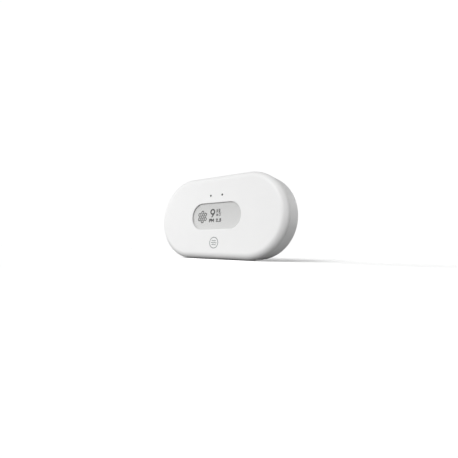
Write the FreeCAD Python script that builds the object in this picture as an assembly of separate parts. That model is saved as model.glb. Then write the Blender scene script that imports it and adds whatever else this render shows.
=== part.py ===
import FreeCAD, Part
import math
import os

# Free-standing / wall-mounted indoor air quality monitor.
# Frame: +Z up, front face looks along -Y, X runs along the long side.
# Origin: middle of the footprint at the height of the surface it stands on.
# All sizes in millimetres.

V = FreeCAD.Vector

# ---------------------------------------------------------------- driving dimensions
SHELL_L = 170.0          # length of the pill-shaped shell (X)
SHELL_H = 90.0           # height of the shell (Z)
DEPTH = 33.0             # overall depth with the wall plate on (Y)
FOOT_OUT = 0.5           # how far the rubber feet stand below the shell
CZ = SHELL_H / 2 + FOOT_OUT
R_END = SHELL_H / 2      # radius of the half-round ends
HALF_STR = SHELL_L / 2 - R_END
Y_FRONT = -DEPTH / 2     # front face
Y_SEAM = -9.5            # parting line between front cover and rear housing
SEAM_GAP = 0.55
SEAM_CHAMFER = 0.35
Y_REAR = 12.0            # rear face of the housing
Y_BACK = DEPTH / 2       # rear face of the wall plate
FRONT_ROUND = 6.7
REAR_ROUND = 3.0
DRAFT = 0.45             # inward draft of the housing side over its depth
WALL = 2.2
REAR_WALL = 2.0

WIN_L, WIN_H, WIN_Z = 67.4, 28.7, 45.5     # display window
WIN_RECESS = 0.55        # depth of the window opening in front of the lens
PINHOLE_X, PINHOLE_Z, PINHOLE_R = 8.0, 68.0, 1.15
MARK_Z, MARK_R = 17.2, 5.95

PANEL_X0, PANEL_X1, PANEL_H, PANEL_T = -37.0, 42.0, 36.7, 1.05
BOARD_L, BOARD_H, BOARD_T = 150.0, 74.0, 1.6
Y_BOARD = -10.2          # front side of the main board

CELL_R, CELL_LEN, CELL_PITCH = 7.1, 50.5, 14.9
BAY_X, BAY_HALF_W, BAY_HALF_H = -15.0, 30.0, 28.8
BAY_WALL = 1.5
Y_BAY_FLOOR = -3.3
CELL_Y = 4.2

PLATE_L, PLATE_H = 134.0, 72.0
PLATE_GAP = 0.05
PLATE_BASE = 1.8
PLATE_RIM = 2.0
SCREW_SPACING = 60.0
SCREW_HOLE_R = 2.25

COVER_SCREWS = [(-52.0, CZ + 19), (-52.0, CZ - 19), (46.5, CZ + 24.6), (46.5, CZ - 24.6)]
BOARD_SCREWS = [(-66.0, CZ + 19), (-66.0, CZ - 19), (62.0, CZ + 21), (62.0, CZ - 21)]
MAGNETS = [(-57.0, CZ + 7), (-57.0, CZ - 7), (57.0, CZ + 7), (57.0, CZ - 7)]

USB_X, USB_Z = -73.0, CZ
INSERT_W, INSERT_H = 5.4, 8.4       # half width and half height of the insert around the socket
BUTTON_X, BUTTON_Z = -73.0, CZ + 15
BUTTON_R = 2.9
BUTTON_TRAVEL = 0.8

PM_X0, PM_X1, PM_Z0, PM_Z1 = 19.0, 54.0, CZ - 19, CZ + 19
PM_Y0, PM_Y1 = -3.2, 8.85
FAN_X, FAN_Z, FAN_R = 33.0, CZ - 6, 10.2

OUT = "parts"
os.makedirs(OUT, exist_ok=True)


# ---------------------------------------------------------------- helpers
def save(name, *shapes):
    solids = []
    for s in shapes:
        solids += s.Solids
    shape = solids[0] if len(solids) == 1 else Part.makeCompound(solids)
    for s in solids:
        if not s.isValid() or s.Volume <= 0:
            print("BAD SOLID in", name)
    shape.exportStep(OUT + "/" + name + ".step")
    print(name, len(solids), round(sum(s.Volume for s in solids), 1))
    return shape


def box(x0, x1, y0, y1, z0, z1):
    return Part.makeBox(x1 - x0, y1 - y0, z1 - z0, V(x0, y0, z0))


def cyl_y(x, z, r, y0, y1):
    return Part.makeCylinder(r, y1 - y0, V(x, y0, z), V(0, 1, 0))


def cyl_z(x, y, r, z0, z1):
    return Part.makeCylinder(r, z1 - z0, V(x, y, z0), V(0, 0, 1))


def tube_y(x, z, ro, ri, y0, y1):
    return cyl_y(x, z, ro, y0, y1).cut(cyl_y(x, z, ri, y0 - 1, y1 + 1))


def rbox(x0, x1, y0, y1, z0, z1, r):
    """Plate lying across Y with rounded corners."""
    b = box(x0, x1, y0, y1, z0, z1)
    edges = [e for e in b.Edges if abs(e.Vertexes[0].Point.y - e.Vertexes[1].Point.y) > 1e-6]
    return b.makeFillet(r, edges)


def pill(length, height, y0, y1, cx=0.0, cz=CZ):
    """Solid with a pill-shaped outline in XZ, between two Y planes."""
    r = height / 2
    a = length / 2 - r
    p = [V(cx - a, y0, cz - r), V(cx + a, y0, cz - r), V(cx + a + r, y0, cz),
         V(cx + a, y0, cz + r), V(cx - a, y0, cz + r), V(cx - a - r, y0, cz)]
    edges = [Part.LineSegment(p[0], p[1]).toShape(), Part.Arc(p[1], p[2], p[3]).toShape(),
             Part.LineSegment(p[3], p[4]).toShape(), Part.Arc(p[4], p[5], p[0]).toShape()]
    return Part.Face(Part.Wire(edges)).extrude(V(0, y1 - y0, 0))


def slot_z(x, z0, z1, r, y0, y1):
    """Round-ended slot cutter, long side along Z."""
    return cyl_y(x, z0 + r, r, y0, y1).fuse([cyl_y(x, z1 - r, r, y0, y1), box(x - r, x + r, y0, y1, z0 + r, z1 - r)])


def slot_x(z, x0, x1, r, y0, y1):
    return cyl_y(x0 + r, z, r, y0, y1).fuse([cyl_y(x1 - r, z, r, y0, y1), box(x0 + r, x1 - r, y0, y1, z - r, z + r)])


def pill_turned(profile, half=HALF_STR, cz=CZ):
    """Solid whose section is the same all round a pill-shaped path.
    profile is a list of curves as (kind, points) in (radius, y); it starts and ends on the axis."""
    def wire(at):
        edges = []
        for kind, pts in profile:
            q = [at(*p) for p in pts]
            edges.append(Part.LineSegment(q[0], q[1]).toShape() if kind == "line" else Part.Arc(q[0], q[1], q[2]).toShape())
        first, last = profile[0][1][0], profile[-1][1][-1]
        edges.append(Part.LineSegment(at(*last), at(*first)).toShape())
        return Part.Face(Part.Wire(edges))
    right = wire(lambda r, y: V(half, y, cz - r)).revolve(V(half, 0, cz), V(0, -1, 0), 180)
    left = wire(lambda r, y: V(-half, y, cz + r)).revolve(V(-half, 0, cz), V(0, -1, 0), 180)
    low = wire(lambda r, y: V(-half, y, cz - r)).extrude(V(2 * half, 0, 0))
    high = wire(lambda r, y: V(-half, y, cz + r)).extrude(V(2 * half, 0, 0))
    return right.fuse([left, low, high]).removeSplitter()


def arc_pts(cx, cy, r, a0, a1):
    """Three points of an arc, angles in degrees in the (radius, y) plane."""
    return [(cx + r * math.cos(math.radians(a)), cy + r * math.sin(math.radians(a))) for a in (a0, (a0 + a1) / 2, a1)]


def capped(r_out, y_front, y_end, round_r):
    """Section: flat front, rounded shoulder, straight side to y_end."""
    return [("line", [(0, y_front), (r_out - round_r, y_front)]),
            ("arc", arc_pts(r_out - round_r, y_front + round_r, round_r, -90, 0)),
            ("line", [(r_out, y_front + round_r), (r_out, y_end)]),
            ("line", [(r_out, y_end), (0, y_end)])]


def screw_y(x, z, head_r, head_h, shank_r, length, y_seat, drive=True):
    """Pan-head screw along Y, head towards +Y, its head's underside at y_seat."""
    head = cyl_y(x, z, head_r, y_seat, y_seat + head_h)
    head = head.makeFillet(head_h * 0.45, [e for e in head.Edges if abs(e.BoundBox.YMin - (y_seat + head_h)) < 1e-6])
    if drive:
        a, w, d = head_r * 0.62, head_r * 0.16, head_h * 0.55
        head = head.cut(box(x - a, x + a, y_seat + head_h - d, y_seat + head_h + 1, z - w, z + w))
        head = head.cut(box(x - w, x + w, y_seat + head_h - d, y_seat + head_h + 1, z - a, z + a))
    shank = cyl_y(x, z, shank_r, y_seat - length + shank_r * 0.9, y_seat + 0.01)
    tip = Part.makeCone(shank_r * 0.25, shank_r, shank_r * 0.9 + 0.01, V(x, y_seat - length, z), V(0, 1, 0))
    return head.fuse([shank, tip]).removeSplitter()


def wire_run(points, radius, bend):
    """Round wire along straight runs joined by tangent arcs."""
    pts = [V(*p) for p in points]
    edges, start = [], pts[0]
    for a, b, c in zip(pts, pts[1:], pts[2:]):
        u, w = (b - a).normalize(), (c - b).normalize()
        turn = u.getAngle(w)
        t = bend * math.tan(turn / 2)
        p, q = b - u * t, b + w * t
        mid_dir = (w - u).normalize()
        centre = b + mid_dir * (bend / math.cos(turn / 2))
        m = centre - mid_dir * bend
        edges.append(Part.LineSegment(start, p).toShape())
        edges.append(Part.Arc(p, m, q).toShape())
        start = q
    edges.append(Part.LineSegment(start, pts[-1]).toShape())
    path = Part.Wire(edges)
    d = (pts[1] - pts[0]).normalize()
    circle = Part.Wire([Part.makeCircle(radius, pts[0], d)])
    return path.makePipeShell([circle], True, True)


def flat_run(points, thick, bend, x0, x1):
    """Flat ribbon of width x0..x1 whose middle line runs in the YZ plane."""
    return ribbon([V(x0, y, z) for y, z in points], thick, bend, V(x1 - x0, 0, 0), V(1, 0, 0))


def ribbon(pts, thick, bend, sweep, normal):
    """Ribbon: a line with round bends, thickened in its plane and swept across it."""
    left, right = [], []
    segs = []
    start = pts[0]
    for a, b, c in zip(pts, pts[1:], pts[2:]):
        u, w = (b - a).normalize(), (c - b).normalize()
        turn = u.getAngle(w)
        t = bend * math.tan(turn / 2)
        p, q = b - u * t, b + w * t
        mid_dir = (w - u).normalize()
        centre = b + mid_dir * (bend / math.cos(turn / 2))
        segs.append(("line", start, p, u))
        segs.append(("arc", p, q, centre, u, w))
        start = q
    u = (pts[-1] - pts[-2]).normalize()
    segs.append(("line", start, pts[-1], u))
    h = thick / 2

    def off(pt, d, s):
        n = normal.cross(d)
        n.normalize()
        return pt + n * (s * h)
    a_edges, b_edges = [], []
    for s in segs:
        for side, edges in ((1, a_edges), (-1, b_edges)):
            if s[0] == "line":
                edges.append(Part.LineSegment(off(s[1], s[3], side), off(s[2], s[3], side)).toShape())
            else:
                _, p, q, c, u, w = s
                p1, q1 = off(p, u, side), off(q, w, side)
                r = (p1 - c).Length
                m = (p1 - c) + (q1 - c)
                m.normalize()
                edges.append(Part.Arc(p1, c + m * r, q1).toShape())
    first = Part.LineSegment(off(segs[0][1], segs[0][3], 1), off(segs[0][1], segs[0][3], -1)).toShape()
    last = Part.LineSegment(off(segs[-1][2], segs[-1][3], 1), off(segs[-1][2], segs[-1][3], -1)).toShape()
    wire = Part.Wire(Part.__sortEdges__(a_edges + b_edges + [first, last]))
    return Part.Face(wire).extrude(sweep)


def wave(cx, cz, length, r, w, y0, y1):
    """Soft wavy stroke of four quarter-bends, as one solid of width w."""
    parts = []
    n = 4
    step = length / n
    # each arc spans one step; chord = step, radius r
    h = math.sqrt(r * r - (step / 2) ** 2)
    for i in range(n):
        up = 1 if i % 2 == 0 else -1
        mx = cx - length / 2 + step * (i + 0.5)
        mz = cz - up * h
        ring = cyl_y(mx, mz, r + w / 2, y0, y1).cut(cyl_y(mx, mz, r - w / 2, y0 - 1, y1 + 1))
        # keep only the wedge between the chord's end rays
        a = math.asin(step / 2 / r)
        L = (r + w) * 2
        tri = Part.makePolygon([V(mx, y0 - 0.5, mz), V(mx - L * math.tan(a), y0 - 0.5, mz + up * L),
                                V(mx + L * math.tan(a), y0 - 0.5, mz + up * L), V(mx, y0 - 0.5, mz)])
        wedge = Part.Face(tri).extrude(V(0, y1 - y0 + 1, 0))
        parts.append(ring.common(wedge))
    out = parts[0].fuse(parts[1:])
    out = out.fuse([cyl_y(cx - length / 2, cz, w / 2, y0, y1), cyl_y(cx + length / 2, cz, w / 2, y0, y1)])
    return out.removeSplitter()


# ---------------------------------------------------------------- front cover
outer = pill_turned(capped(R_END, Y_FRONT, Y_SEAM, FRONT_ROUND - 0.02))
inner = pill_turned(capped(R_END - WALL, Y_FRONT + WALL, Y_SEAM + 1, FRONT_ROUND - WALL))
cover = outer.cut(inner)
lip_out, lip_in = R_END - WALL - 0.12, R_END - WALL - 1.4
lip_root = pill(2 * (HALF_STR + R_END - 1.2), 2 * (R_END - 1.2), Y_SEAM - 2.4, Y_SEAM - 0.2).cut(
    pill(2 * (HALF_STR + lip_in), 2 * lip_in, Y_SEAM - 3, Y_SEAM))
lip = pill(2 * (HALF_STR + lip_out), 2 * lip_out, Y_SEAM - 2.4, Y_SEAM + 2.4).cut(
    pill(2 * (HALF_STR + lip_in), 2 * lip_in, Y_SEAM - 3, Y_SEAM + 3))
cover = cover.fuse([lip_root, lip])
bosses = [cyl_y(x, z, 3.2, Y_FRONT + WALL - 0.3, -3.7) for x, z in COVER_SCREWS]
bosses += [cyl_y(x, z, 2.4, Y_FRONT + WALL - 0.3, Y_BOARD - 0.02) for x, z in BOARD_SCREWS]
cover = cover.fuse(bosses)
window = pill(WIN_L, WIN_H, Y_FRONT - 1, Y_FRONT + WALL + 1, 0, WIN_Z)
cover = cover.cut([window, pill(WIN_L + 4.0, WIN_H + 4.0, Y_FRONT + WIN_RECESS, Y_FRONT + WALL + 1, 0, WIN_Z)])
# soft edge around the window
rim = [e for e in cover.Edges if abs(e.BoundBox.YMin - Y_FRONT) < 1e-4 and abs(e.BoundBox.YMax - Y_FRONT) < 1e-4
       and e.BoundBox.XMin > -WIN_L / 2 - 0.5 and e.BoundBox.XMax < WIN_L / 2 + 0.5
       and e.BoundBox.ZMin > WIN_Z - WIN_H / 2 - 0.5 and e.BoundBox.ZMax < WIN_Z + WIN_H / 2 + 0.5]
cover = cover.makeFillet(0.45, rim)
LENS_T, GASKET_T = 0.6, 0.15
Y_LENS = Y_FRONT + WIN_RECESS + 0.02
Y_PANEL = Y_LENS + LENS_T + GASKET_T     # front side of the display panel
# shallow pocket that seats the panel and its frame, with a relief for the ribbon
cover = cover.cut([rbox(PANEL_X0 - 1.5, PANEL_X1 + 1.5, Y_PANEL - 0.03, Y_FRONT + WALL + 0.1, WIN_Z - PANEL_H / 2 - 1.5, WIN_Z + PANEL_H / 2 + 1.5, 1.8),
                   box(PANEL_X1 + 1.0, PANEL_X1 + 6.0, Y_PANEL + 0.55, Y_FRONT + WALL + 0.1, WIN_Z - 7.8, WIN_Z + 7.8)])
cover = cover.cut([cyl_y(x, z, 1.3, -12.5, -3) for x, z in COVER_SCREWS]
                  + [cyl_y(x, z, 0.85, -13.6, Y_BOARD + 1) for x, z in BOARD_SCREWS])
cover = cover.cut([cyl_y(s * PINHOLE_X, PINHOLE_Z, PINHOLE_R, Y_FRONT - 1, Y_FRONT + WALL + 1) for s in (-1, 1)])
MARK_D = 0.3
mark = [cyl_y(0, MARK_Z, MARK_R, Y_FRONT, Y_FRONT + MARK_D).cut(cyl_y(0, MARK_Z, MARK_R - 0.75, Y_FRONT - 1, Y_FRONT + 1)),
        wave(0, MARK_Z + 2.1, 5.2, 0.95, 0.7, Y_FRONT, Y_FRONT + MARK_D),
        wave(0, MARK_Z, 6.8, 1.15, 0.7, Y_FRONT, Y_FRONT + MARK_D),
        wave(0, MARK_Z - 2.1, 5.2, 0.95, 0.7, Y_FRONT, Y_FRONT + MARK_D)]
cover = cover.cut(mark)
save("front_cover", cover)
save("front_mark", *mark)

# ---------------------------------------------------------------- display stack
save("display_lens", pill(WIN_L + 3.6, WIN_H + 3.6, Y_LENS, Y_LENS + LENS_T, 0, WIN_Z))
gasket = pill(WIN_L + 3.6, WIN_H + 3.6, Y_LENS + LENS_T + 0.01, Y_PANEL - 0.01, 0, WIN_Z).cut(
    pill(WIN_L + 0.8, WIN_H + 0.8, Y_FRONT, Y_PANEL + 1, 0, WIN_Z))
save("display_gasket", gasket)
panel = box(PANEL_X0, PANEL_X1, Y_PANEL, Y_PANEL + PANEL_T, WIN_Z - PANEL_H / 2, WIN_Z + PANEL_H / 2)
save("display_panel", panel)
yf0 = Y_PANEL + PANEL_T + 0.02
frame = rbox(PANEL_X0 - 1.2, PANEL_X1 + 1.2, yf0 - PANEL_T + 0.03, yf0 + 0.9, WIN_Z - PANEL_H / 2 - 1.2, WIN_Z + PANEL_H / 2 + 1.2, 1.5)
frame = frame.cut(box(PANEL_X0 - 0.15, PANEL_X1 + 0.15, yf0 - 3, yf0, WIN_Z - PANEL_H / 2 - 0.15, WIN_Z + PANEL_H / 2 + 0.15))
frame = frame.cut([rbox(-32, 0, yf0 - 1, yf0 + 2, WIN_Z - 14, WIN_Z + 14, 2), rbox(4, 37, yf0 - 1, yf0 + 2, WIN_Z - 14, WIN_Z + 14, 2),
                   box(PANEL_X1 - 0.5, PANEL_X1 + 3, yf0 - 3, yf0 + 3, WIN_Z - 7.6, WIN_Z + 7.6)])
legs = [cyl_y(x, z, 1.5, yf0 + 0.5, Y_BOARD - 0.02) for x in (-35, 2, 39.5) for z in (WIN_Z - 16.2, WIN_Z + 16.2)]
frame = frame.fuse(legs)
save("display_frame", frame)
tail_y = Y_PANEL + 0.93
tail = ribbon([V(PANEL_X1 + 0.02, tail_y, WIN_Z - 7), V(PANEL_X1 + 3.4, tail_y, WIN_Z - 7), V(PANEL_X1 + 5.4, Y_BOARD - 0.5, WIN_Z - 7),
               V(PANEL_X1 + 9.4, Y_BOARD - 0.5, WIN_Z - 7)], 0.2, 1.2, V(0, 0, 14), V(0, 0, 1))
save("display_ribbon", tail)
conn = box(PANEL_X1 + 7.0, PANEL_X1 + 10.5, Y_BOARD - 1.1, Y_BOARD - 0.01, WIN_Z - 8.4, WIN_Z + 8.4).cut(
    box(PANEL_X1 + 6, PANEL_X1 + 9.6, Y_BOARD - 0.65, Y_BOARD - 0.35, WIN_Z - 7.2, WIN_Z + 7.2))
save("ribbon_connector", conn)

# ---------------------------------------------------------------- light guide behind the two pinholes
g = rbox(-12, 12, Y_FRONT + WALL + 0.02, Y_FRONT + WALL + 1.0, PINHOLE_Z - 1.6, PINHOLE_Z + 1.6, 1.0)
for s in (-1, 1):
    g = g.fuse(cyl_y(s * PINHOLE_X, PINHOLE_Z, PINHOLE_R - 0.04, Y_FRONT + 0.15, Y_FRONT + WALL + 0.5))
    g = g.fuse(cyl_y(s * PINHOLE_X, PINHOLE_Z, 1.2, Y_FRONT + WALL + 0.5, Y_BOARD - 1.25))
save("light_guide", g)
save("optical_sensors", *[box(s * PINHOLE_X - 1.6, s * PINHOLE_X + 1.6, Y_BOARD - 1.15, Y_BOARD - 0.01, PINHOLE_Z - 1.3, PINHOLE_Z + 1.3) for s in (-1, 1)])

# ---------------------------------------------------------------- main board and what is on it
YB1 = Y_BOARD + BOARD_T
board = pill(BOARD_L, BOARD_H, Y_BOARD, YB1)
board = board.cut([cyl_y(x, z, 3.7, -20, 0) for x, z in COVER_SCREWS] + [cyl_y(x, z, 1.15, -20, 0) for x, z in BOARD_SCREWS])
save("main_board", board)
save("board_screws", *[screw_y(x, z, 1.9, 1.3, 0.8, 4.9, YB1 + 0.02) for x, z in BOARD_SCREWS])
wl = box(-14, 4, YB1 + 0.01, YB1 + 0.9, CZ - 30, CZ - 4.5).fuse(rbox(-13.2, 3.2, YB1 + 0.9, YB1 + 3.2, CZ - 29.4, CZ - 11.5, 0.8))
save("wireless_module", wl)
save("processor_chip", rbox(-36, -26, YB1 + 0.01, YB1 + 1.5, CZ - 5, CZ + 5, 0.4))
save("power_chips", box(-34, -28, YB1 + 0.01, YB1 + 1.6, CZ + 14, CZ + 20), box(-22, -17.5, YB1 + 0.01, YB1 + 2.8, CZ + 13, CZ + 18),
     box(-12, -9, YB1 + 0.01, YB1 + 1.0, CZ + 14, CZ + 17))
co2 = rbox(58, 74, YB1 + 0.05, YB1 + 7.4, CZ - 15, CZ + 15, 1.2)
co2 = co2.cut([cyl_y(66, CZ + z, 1.0, YB1 + 6.4, YB1 + 9) for z in (-9, -4.5, 0, 4.5, 9)])
save("co2_sensor", co2)
gas = rbox(-18, -10, YB1 + 0.01, YB1 + 2.2, CZ + 31.3, CZ + 35.7, 0.5).cut(cyl_y(-14, CZ + 33.5, 1.0, YB1 + 1.2, YB1 + 3))
save("gas_sensor", gas)
clim = rbox(8, 13, YB1 + 0.01, YB1 + 1.6, CZ + 31.5, CZ + 35.5, 0.5).cut(cyl_y(10.5, CZ + 33.5, 0.8, YB1 + 0.9, YB1 + 3))
save("climate_sensor", clim)

# ---------------------------------------------------------------- rear housing
ro0, ro1 = R_END - 0.05, R_END - DRAFT
ys = Y_SEAM + SEAM_GAP
round_y = Y_REAR - REAR_ROUND
outer = pill_turned([("line", [(0, ys), (ro0 - SEAM_CHAMFER, ys)]), ("line", [(ro0 - SEAM_CHAMFER, ys), (ro0, ys + SEAM_CHAMFER)]),
                     ("line", [(ro0, ys + SEAM_CHAMFER), (ro1, round_y)]),
                     ("arc", arc_pts(ro1 - REAR_ROUND, round_y, REAR_ROUND, 0, 90)),
                     ("line", [(ro1 - REAR_ROUND, Y_REAR), (0, Y_REAR)])])
ri = R_END - WALL
inner = pill_turned([("line", [(0, ys - 1), (ri, ys - 1)]), ("line", [(ri, ys - 1), (ri - 0.2, Y_REAR - REAR_WALL - 1.5)]),
                     ("arc", arc_pts(ri - 1.7, Y_REAR - REAR_WALL - 1.5, 1.5, 0, 90)),
                     ("line", [(ri - 1.7, Y_REAR - REAR_WALL), (0, Y_REAR - REAR_WALL)])])
house = outer.cut(inner)
YW = Y_REAR - REAR_WALL                 # inner side of the rear wall
bay_out = box(BAY_X - BAY_HALF_W - BAY_WALL, BAY_X + BAY_HALF_W + BAY_WALL, Y_BAY_FLOOR - BAY_WALL, YW + 0.5,
              CZ - BAY_HALF_H - BAY_WALL, CZ + BAY_HALF_H + BAY_WALL)
adds = [bay_out]
adds += [cyl_y(x, z, 3.9, -3.6, YW + 0.5) for x, z in COVER_SCREWS]
IO_POSTS = [(-63.5, CZ + 15.5), (-63.5, CZ - 7.5)]
adds += [cyl_y(x, z, 2.3, 0.02, YW + 0.5) for x, z in IO_POSTS]
# ring that locates the wall plate
ridge_r = PLATE_H / 2 - PLATE_RIM - 0.35
ridge = pill(PLATE_L - 2 * PLATE_RIM - 0.7, 2 * ridge_r, Y_REAR - 0.5, Y_REAR + 1.2).cut(
    pill(PLATE_L - 2 * PLATE_RIM - 0.7 - 2.6, 2 * ridge_r - 2.6, Y_REAR - 1, Y_REAR + 2))
adds += [ridge]
# ribs that hold the particle sensor
adds += [box(PM_X0 - 1.9, PM_X0 - 0.3, 0, YW + 0.5, CZ - 12, CZ + 12), box(PM_X0 + 6, PM_X1 - 6, 0, YW + 0.5, PM_Z1 + 0.3, PM_Z1 + 1.5)]
house = house.fuse(adds)
bay_in = box(BAY_X - BAY_HALF_W, BAY_X + BAY_HALF_W, Y_BAY_FLOOR, Y_REAR + 3, CZ - BAY_HALF_H, CZ + BAY_HALF_H)
cuts = [bay_in]
for x, z in COVER_SCREWS:
    cuts += [cyl_y(x, z, 2.9, -1.6, Y_REAR + 3), cyl_y(x, z, 1.6, -5, 0)]
cuts += [cyl_y(x, z, 4.1, Y_REAR - 1.55, Y_REAR + 3) for x, z in MAGNETS]
cuts += [rbox(USB_X - INSERT_W, USB_X + INSERT_W, YW - 1, Y_REAR + 1, USB_Z - INSERT_H, USB_Z + INSERT_H, 2.8)]
cuts += [cyl_y(BUTTON_X, BUTTON_Z, BUTTON_R + 0.08, Y_REAR - 4, Y_REAR + 1)]
cuts += [cyl_y(x, z, 0.75, -0.5, 6) for x, z in IO_POSTS]
# vent slots: right end, top edge and bottom edge of the rear face
for i in range(-5, 6):
    z = CZ + 2.6 * i
    if abs(i) < 1:
        continue
    reach = HALF_STR + math.sqrt((R_END - DRAFT - REAR_ROUND - 1.0) ** 2 - (z - CZ) ** 2)
    cuts.append(slot_x(z, 70.2, min(reach, 79.2), 0.7, YW - 1, Y_REAR + 1))
for i in range(-14, 15):
    cuts.append(slot_z(2.6 * i, CZ + PLATE_H / 2 + 1.0, CZ + R_END - DRAFT - REAR_ROUND - 0.3, 0.7, YW - 1, Y_REAR + 1))
    if abs(i) > 3:
        cuts.append(slot_z(2.6 * i, CZ - R_END + DRAFT + REAR_ROUND + 0.3, CZ - PLATE_H / 2 - 1.0, 0.7, YW - 1, Y_REAR + 1))
# lead holes in the lower bay wall, seats for the feet
CELL_XS = [BAY_X + CELL_PITCH * k for k in (-1.5, -0.5, 0.5, 1.5)]
LEADS = [CELL_XS[0], CELL_XS[3]]
cuts += [cyl_z(x, CELL_Y, 0.9, CZ - BAY_HALF_H - 3, CZ - BAY_HALF_H + 1) for x in LEADS]
FEET = [(-38.0, -16.0), (16.0, 38.0)]
FOOT_Y0, FOOT_Y1, FOOT_T = -8.2, 9.4, 1.35


def foot(x0, x1, grow, z0, z1):
    b = box(x0 - grow, x1 + grow, FOOT_Y0 - grow, FOOT_Y1 + grow, z0, z1)
    return b.makeFillet(4.0 + grow, [e for e in b.Edges if abs(e.Vertexes[0].Point.z - e.Vertexes[1].Point.z) > 1e-6])


cuts += [foot(a, b, 0.1, -1, FOOT_T) for a, b in FEET]
house = house.cut(cuts)
save("rear_housing", house)

# insert that makes the recess for the plug: pressed in from inside, its flange against the rear wall
ins = rbox(USB_X - INSERT_W + 0.08, USB_X + INSERT_W - 0.08, YW - 1.0, Y_REAR - 0.05, USB_Z - INSERT_H + 0.08, USB_Z + INSERT_H - 0.08, 2.72)
ins = ins.fuse([rbox(USB_X - INSERT_W - 1.0, USB_X + INSERT_W + 1.0, YW - 1.22, YW - 0.02, USB_Z - INSERT_H - 1.0, USB_Z + INSERT_H + 1.0, 3.0),
                rbox(USB_X - 5, USB_X + 5, 5.8, YW - 0.5, USB_Z - 7.8, USB_Z + 7.8, 2.0)])
ins = ins.cut([rbox(USB_X - 3.75, USB_X + 3.75, 7.0, Y_REAR + 1, USB_Z - 6.5, USB_Z + 6.5, 2.2),
               slot_z(USB_X, USB_Z - 4.75, USB_Z + 4.75, 1.85, 5, 8)])
save("port_insert", ins)


def foot_pad(a, b):
    s = foot(a, b, 0, 0, FOOT_T - 0.01)
    return s.makeFillet(0.25, [e for e in s.Edges if abs(e.BoundBox.ZMax) < 1e-6])


save("left_foot", foot_pad(*FEET[0]))
save("right_foot", foot_pad(*FEET[1]))
save("housing_screws", *[screw_y(x, z, 2.5, 1.8, 1.25, 10.0, -1.58) for x, z in COVER_SCREWS])
mag = []
for x, z in MAGNETS:
    m = cyl_y(x, z, 4.0, Y_REAR - 1.53, Y_REAR - 0.03)
    mag.append(m.makeChamfer(0.15, [e for e in m.Edges if abs(e.BoundBox.YMin - (Y_REAR - 0.03)) < 1e-6]))
save("magnets", *mag)
mesh_r = rbox(68.5, 79.2, YW - 0.32, YW - 0.02, CZ - 14.2, CZ + 14.2, 1.0).common(
    pill(2 * (HALF_STR + 40.6), 2 * 40.6, YW - 1, YW))
save("vent_mesh_side", mesh_r)
save("vent_mesh_top", rbox(-39, 39, YW - 0.32, YW - 0.02, CZ + PLATE_H / 2 + 0.3, CZ + R_END - WALL - 2.0, 0.8))
save("vent_mesh_bottom", rbox(-39, 39, YW - 0.32, YW - 0.02, CZ - R_END + WALL + 2.0, CZ - PLATE_H / 2 - 0.3, 0.8))

# ---------------------------------------------------------------- cells, springs, contacts, leads
Z_TOP, Z_BOT = CZ + BAY_HALF_H, CZ - BAY_HALF_H
TAB_T, DIMPLE = 0.4, 1.2
for n, x in enumerate(CELL_XS):
    up = n % 2 == 0
    body = cyl_z(x, CELL_Y, CELL_R, 0, CELL_LEN - 1.4)
    rims = [e for e in body.Edges if abs(e.BoundBox.ZMax - e.BoundBox.ZMin) < 1e-6]
    body = body.makeFillet(0.6, rims)
    nub = cyl_z(x, CELL_Y, 2.7, CELL_LEN - 1.5, CELL_LEN)
    nub = nub.makeFillet(0.35, [e for e in nub.Edges if abs(e.BoundBox.ZMin - CELL_LEN) < 1e-6])
    cell = body.fuse(nub)
    if up:
        cell.translate(V(0, 0, Z_TOP - TAB_T - DIMPLE - 0.03 - CELL_LEN))
    else:
        cell.rotate(V(x, CELL_Y, 0), V(1, 0, 0), 180)
        cell.translate(V(0, 0, Z_BOT + TAB_T + DIMPLE + 0.03 + CELL_LEN))
    save("battery_cell_%d" % (n + 1), cell)
spring_len = 2 * BAY_HALF_H - TAB_T - DIMPLE - 0.06 - CELL_LEN - TAB_T
springs, tabs = [], []
for n, x in enumerate(CELL_XS):
    up = n % 2 == 0
    wire_r = 0.35
    turns = 4
    helix = Part.makeHelix((spring_len - 2 * wire_r) / turns, spring_len - 2 * wire_r, 3.4)
    prof = Part.Wire([Part.makeCircle(wire_r, V(3.4, 0, 0), V(0, 1, 0.07))])
    sp = Part.Wire(helix.Edges).makePipeShell([prof], True, True)
    sp.translate(V(x, CELL_Y, 0))
    z0 = Z_BOT + TAB_T if up else Z_TOP - TAB_T - spring_len
    sp.translate(V(0, 0, z0 + wire_r))
    springs.append(sp)
save("battery_springs", *springs)


def dimple(x, top):
    z = Z_TOP - TAB_T if top else Z_BOT + TAB_T
    return cyl_z(x, CELL_Y, 2.2, z - DIMPLE, z + 0.1) if top else cyl_z(x, CELL_Y, 2.2, z - 0.1, z + DIMPLE)


def tab(x0, x1, top, dimples):
    z0 = Z_TOP - TAB_T if top else Z_BOT
    t = box(x0, x1, CELL_Y - 5.5, CELL_Y + 5.5, z0 + (0 if top else 0.01), z0 + TAB_T - (0.01 if top else 0))
    for x in dimples:
        t = t.fuse(dimple(x, top))
    return t


c1, c2, c3, c4 = CELL_XS
save("battery_contacts", tab(c1 - 5.5, c2 + 5.5, True, [c1]), tab(c3 - 5.5, c4 + 5.5, True, [c3]),
     tab(c1 - 5.5, c1 + 5.5, False, []), tab(c2 - 5.5, c3 + 5.5, False, [c2]), tab(c4 - 5.5, c4 + 5.5, False, [c4]))
for name, x in (("battery_lead_black", LEADS[0]), ("battery_lead_red", LEADS[1])):
    z_run = CZ - 34.5
    w = wire_run([(x, CELL_Y, Z_BOT - 0.02), (x, CELL_Y, z_run), (x, YB1 + 0.03, z_run)], 0.6, 2.6)
    save(name, w)

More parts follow.
